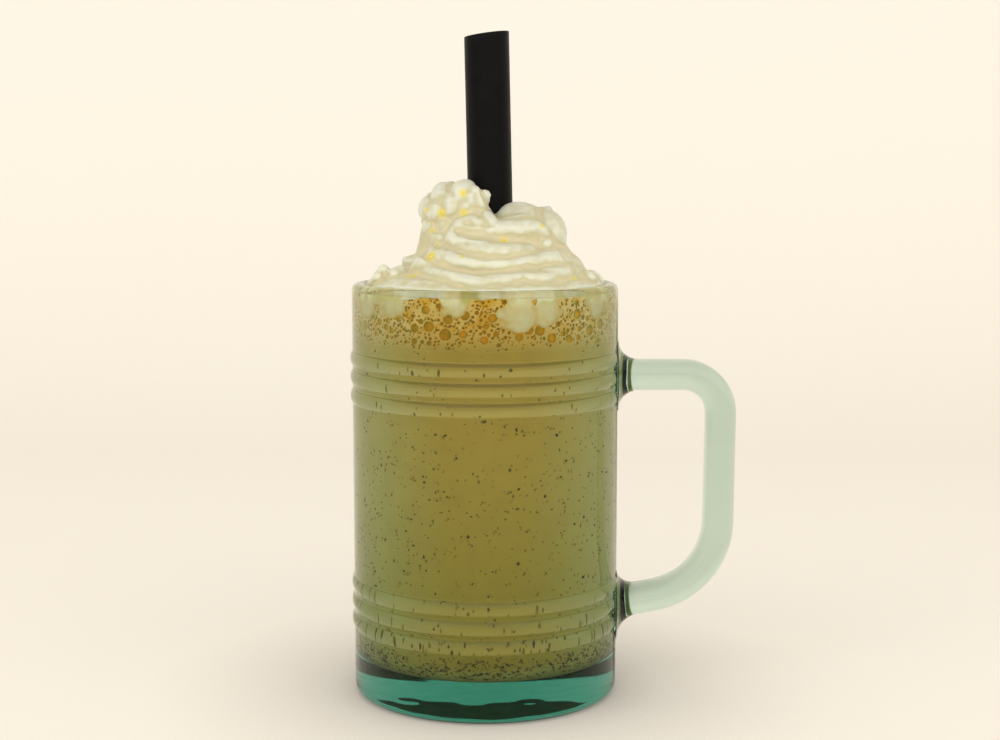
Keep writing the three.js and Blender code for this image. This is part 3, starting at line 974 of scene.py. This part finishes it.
def glass_material():
    m = Nodes("pressed_glass")
    m.set(Transmission_Weight=1.0, IOR=1.5, Specular_Tint=(0.35, 0.35, 0.35, 1))
    clear = m.ramp(m.noise(40.0), (0.3, (0.985, 1.0, 0.99, 1)), (0.7, (1, 1, 1, 1)))
    handle = m.level(m.along("X"), 0.037, 0.041)
    m.set(Base_Color=m.mix(handle, clear, (0.96, 0.905, 0.845, 1)))
    m.set(Roughness=m.level(m.noise(60.0), 0.3, 0.7, 0.0, 0.015))
    m.bump(m.noise(30.0, 0.0), 0.1, 0.0003)
    volume = m.add("ShaderNodeVolumeAbsorption", Color=(0.2, 0.65, 0.58, 1), Density=60.0)
    m.tree.links.new(volume.outputs["Volume"], m.output.inputs["Volume"])
    return m.material


def ring_light(m, z, colour):
    """A colour of the drink with the bright and dark lines that the rings of the glass throw on it."""
    reach = RING["count"] * RING["pitch"] / 2
    fade = m.level(m.add("ShaderNodeLayerWeight").outputs["Facing"], 0.02, 0.3, 1.0, 0.3)
    for middle, share in ((RING["upper"], 0.9), (RING["lower"] - 0.3, 0.6)):
        turn = m.fraction(m.level(z, (middle - reach) * MM, (middle + reach) * MM, 0, RING["count"]))
        bright = m.ramp(turn, *((place, [share * tone] * 3 + [1]) for place, tone in RING_BRIGHT))
        dark = m.ramp(turn, *((place, [share * tone] * 3 + [1]) for place, tone in RING_DARK))
        colour = m.mix(m.mix(1.0, bright, fade, "MULTIPLY"), colour, linear(216, 178, 98))
        colour = m.mix(dark, colour, linear(146, 110, 6))
    return colour


def drink_material():
    m = Nodes("shake")
    z = m.along("Z")
    body = m.ramp(
        m.level(z, 0.010, 0.110),
        (0.0, linear(136, 119, 46)),
        (0.1, linear(171, 143, 50)),
        (0.5, linear(191, 154, 65)),
        (0.86, linear(197, 153, 62)),
        (1.0, linear(200, 154, 70)),
    )
    mottle = m.mix(m.level(m.noise(160.0, 5.0), 0.35, 0.7, 0.0, 0.35), body, linear(174, 137, 56))
    mottle = ring_light(m, z, mottle)
    foam = m.level(z, 0.0965, 0.103)
    foamy = m.mix(foam, mottle, m.mix(m.noise(500.0, 2.0), linear(228, 170, 74), linear(243, 198, 115)))
    # Bubbles: amber with painted shade, lighter in the middle and darker at the rim and in small bubbles
    lit = m.mix(m.level(m.noise(420.0, 2.0), 0.35, 0.65), linear(224, 146, 4), linear(168, 122, 2))
    amber = m.mix(m.level(m.attribute("bubble"), 0.3, 0.9), lit, linear(122, 76, 6))
    patches = m.level(m.noise(260.0, 2.0), 0.46, 0.6, 0.0, 0.8)
    foamy = m.mix(patches, foamy, m.mix(m.level(z, 0.099, 0.104), foamy, linear(226, 156, 30)))
    colour = m.mix(m.level(m.attribute("bubble"), 0.02, 0.2), foamy, amber)
    # Towards the sides the foam's bubbles and patches fade to a plain colour, and a painted reflection makes
    # the drink lighter, greener and bluer
    facing = m.add("ShaderNodeLayerWeight").outputs["Facing"]
    colour = m.mix(m.level(facing, 0.1, 0.45, 0.0, 0.75), colour, m.mix(foam, mottle, linear(206, 164, 78)))
    sideways = m.level(facing, 0.03, 0.2)
    m.set(Base_Color=m.mix(sideways, colour, m.mix(1.0, colour, (1.15, 1.44, 2.8, 1), "MULTIPLY")))
    m.set(Roughness=m.level(m.noise(300.0), 0.3, 0.7, 0.35, 0.5))
    m.shader.inputs["Specular IOR Level"].default_value = 0.1
    m.bump(m.noise(900.0, 3.0), 0.15, 0.0002)
    return m.material


def speck_material():
    m = Nodes("vanilla_specks")
    dark = m.mix(m.noise(900.0), linear(40, 42, 26), linear(72, 68, 40))
    m.set(Base_Color=m.mix(m.attribute("veil"), dark, linear(184, 148, 60)), Roughness=0.5)
    m.shader.inputs["Specular IOR Level"].default_value = 0.1
    m.bump(m.noise(2000.0), 0.3, 0.0001)
    return m.material


def cream_material():
    m = Nodes("whipped_cream")
    # Painted light and shade on the folds: ridges lighter and whiter, flanks and grooves darker and tanner
    fold = m.sum(m.attribute("fold"), m.level(m.noise(220.0, 3.0), 0.3, 0.7, -0.1, 0.1))
    tone = m.ramp(
        fold,
        (0.2, linear(200, 188, 150)),
        (0.5, linear(185, 177, 138)),
        (0.8, linear(200, 198, 176)),
    )
    z = m.along("Z")
    soaked = m.level(m.noise(350.0, 3.0), 0.4, 0.6)
    pressed = m.mix(soaked, linear(242, 218, 170), linear(242, 209, 149))
    touch = m.sum(m.attribute("contact"), m.level(m.noise(900.0, 2.0), 0.3, 0.7, -0.2, 0.2))
    tips = m.mix(m.level(touch, 0.05, 0.85), linear(232, 186, 98), pressed)
    blocks = m.ramp(
        m.noise(150.0, 1.0),
        (0.35, linear(214, 190, 100)),
        (0.45, linear(255, 228, 180)),
        (0.55, linear(255, 234, 198)),
        (0.62, linear(232, 206, 138)),
    )
    # Painted light: the lower cream lighter and its top darker, with a cooler tone throughout
    height_light = m.ramp(m.level(z, 0.112, 0.136), (0.0, (1.04, 1.08, 1.13, 1)), (1.0, (0.93, 0.97, 1.06, 1)))
    tone = m.mix(1.0, tone, height_light, "MULTIPLY")
    tips = m.mix(m.level(z, 0.1075, 0.1095), tips, blocks)
    tone = m.mix(m.level(z, 0.1102, 0.1118), tips, tone)
    tone = m.mix(m.level(m.attribute("stain"), 0.0, 0.7, 0.0, 0.8), tone, linear(218, 202, 84))
    m.set(Base_Color=tone, Subsurface_Weight=0.6, Subsurface_Scale=0.0025)
    m.shader.inputs["Subsurface Radius"].default_value = (0.9, 0.8, 0.5)
    m.set(Roughness=m.level(m.noise(400.0), 0.3, 0.7, 0.4, 0.55))
    m.bump(m.noise(1400.0, 4.0), 0.25, 0.00025)
    return m.material


def syrup_material():
    m = Nodes("yellow_syrup")
    yellow = m.mix(m.noise(700.0), linear(198, 178, 52), linear(206, 188, 78))
    m.set(Base_Color=m.mix(m.level(m.attribute("veil"), 0.2, 1.0, 0.0, 0.8), yellow, linear(214, 200, 112)))
    m.set(Roughness=m.level(m.noise(300.0), 0.3, 0.7, 0.25, 0.4))
    m.set(Subsurface_Weight=0.3, Subsurface_Scale=0.001)
    return m.material


def straw_material():
    m = Nodes("black_straw")
    m.set(Base_Color=m.mix(m.noise(300.0), linear(5, 5, 5), linear(11, 11, 10)))
    m.set(Roughness=m.level(m.noise(150.0, 5.0), 0.3, 0.7, 0.35, 0.5))
    m.shader.inputs["Specular IOR Level"].default_value = 0.08
    m.bump(m.noise(800.0), 0.08, 0.0001)
    return m.material


def stage_material():
    m = Nodes("pale_backdrop")
    tint = m.mix(m.noise(2.0), linear(254, 247, 234), linear(253, 245, 231))
    # Painted shadow: the floor darkens close to the mug, as a contact shadow
    painted_contact_shadow = m.add("ShaderNodeAmbientOcclusion", Distance=0.06)
    painted_contact_shadow.samples = 4
    near = m.level(painted_contact_shadow.outputs["AO"], 0.3, 1.0, 0.5, 1.0)
    tint = m.mix(1.0, tint, near, "MULTIPLY")
    shade = m.mix(1.0, tint, (0.58, 0.585, 0.6, 1), "MULTIPLY")
    glow = m.level(m.along("Y"), -0.03, 0.5, 0.37, 0.28)
    m.set(Base_Color=shade, Roughness=0.9, Emission_Color=tint, Emission_Strength=glow)
    m.shader.inputs["Specular IOR Level"].default_value = 0.0
    return m.material


# Stage, camera and lights


def make_stage():
    """A pale floor that curves up into the backdrop."""
    bend, back, wide, drop = (STAGE[name] for name in ("bend", "back", "wide", "drop"))
    profile = [(-wide, -drop), (back - bend, -drop)]
    profile += arc((back - bend, bend - drop), bend, -90, 0, 24)
    profile.append((back, STAGE["tall"]))
    points = [(x, y, z) for y, z in profile for x in (-wide, wide)]
    faces = [(2 * i, 2 * i + 1, 2 * i + 3, 2 * i + 2) for i in range(len(profile) - 1)]
    stage = mesh_object("stage_sweep", points, faces)
    stage.data.materials.append(stage_material())


def make_camera():
    data = bpy.data.cameras.new("camera")
    data.sensor_width = 36.0
    data.lens = CAMERA["focal_px"] / PICTURE[0] * data.sensor_width
    camera = bpy.data.objects.new("camera", data)
    camera.location = [CAMERA[axis] * MM for axis in "xyz"]
    camera.rotation_euler = (math.radians(90 - CAMERA["pitch"]), 0, 0)
    bpy.context.scene.collection.objects.link(camera)
    bpy.context.scene.camera = camera


def area_light(name, place, target, size, watts, glints):
    data = bpy.data.lights.new(name, "AREA")
    data.shape = "RECTANGLE"
    data.size, data.size_y = (s * MM for s in size)
    data.energy = watts
    data.color = WARM
    light = bpy.data.objects.new(name, data)
    light.location = Vector(place) * MM
    light.visible_glossy = glints
    light.visible_camera = False
    light.rotation_euler = (Vector(target) - Vector(place)).to_track_quat("-Z", "Y").to_euler()
    bpy.context.scene.collection.objects.link(light)


def make_lights():
    for name, light in LIGHTS.items():
        area_light(name, *light)
    world = bpy.data.worlds.new("studio")
    world.use_nodes = True
    nodes, links = world.node_tree.nodes, world.node_tree.links
    rise = nodes.new("ShaderNodeSeparateXYZ")
    band = nodes.new("ShaderNodeValToRGB")
    fill_ramp(band, [(place, [strength * tone for tone in WARM] + [1.0]) for place, strength in DOME])
    front = nodes.new("ShaderNodeMapRange")
    fill_range(front, *DOME_FRONT)
    links.new(nodes.new("ShaderNodeTexCoord").outputs["Generated"], rise.inputs["Vector"])
    links.new(rise.outputs["Z"], band.inputs["Fac"])
    links.new(rise.outputs["Y"], front.inputs["Value"])
    links.new(band.outputs["Color"], nodes["Background"].inputs["Color"])
    links.new(front.outputs["Result"], nodes["Background"].inputs["Strength"])
    bpy.context.scene.world = world


# The whole


def dress(piece, node, material):
    piece.data.materials.clear()
    piece.data.materials.append(material)
    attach(piece, "root")
    if node:
        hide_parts(node)


make_camera()
make_stage()
make_lights()
dress(make_glass(), "glass_mug", glass_material())
dress(make_drink(), "drink", drink_material())
dress(make_specks(), None, speck_material())
cream = make_cream()
dress(cream, "cream", cream_material())
dress(make_syrup(cream), None, syrup_material())
dress(make_straw(), "straw", straw_material())

bpy.context.scene.view_settings.view_transform = "Standard"
bpy.context.scene.view_settings.look = "None"
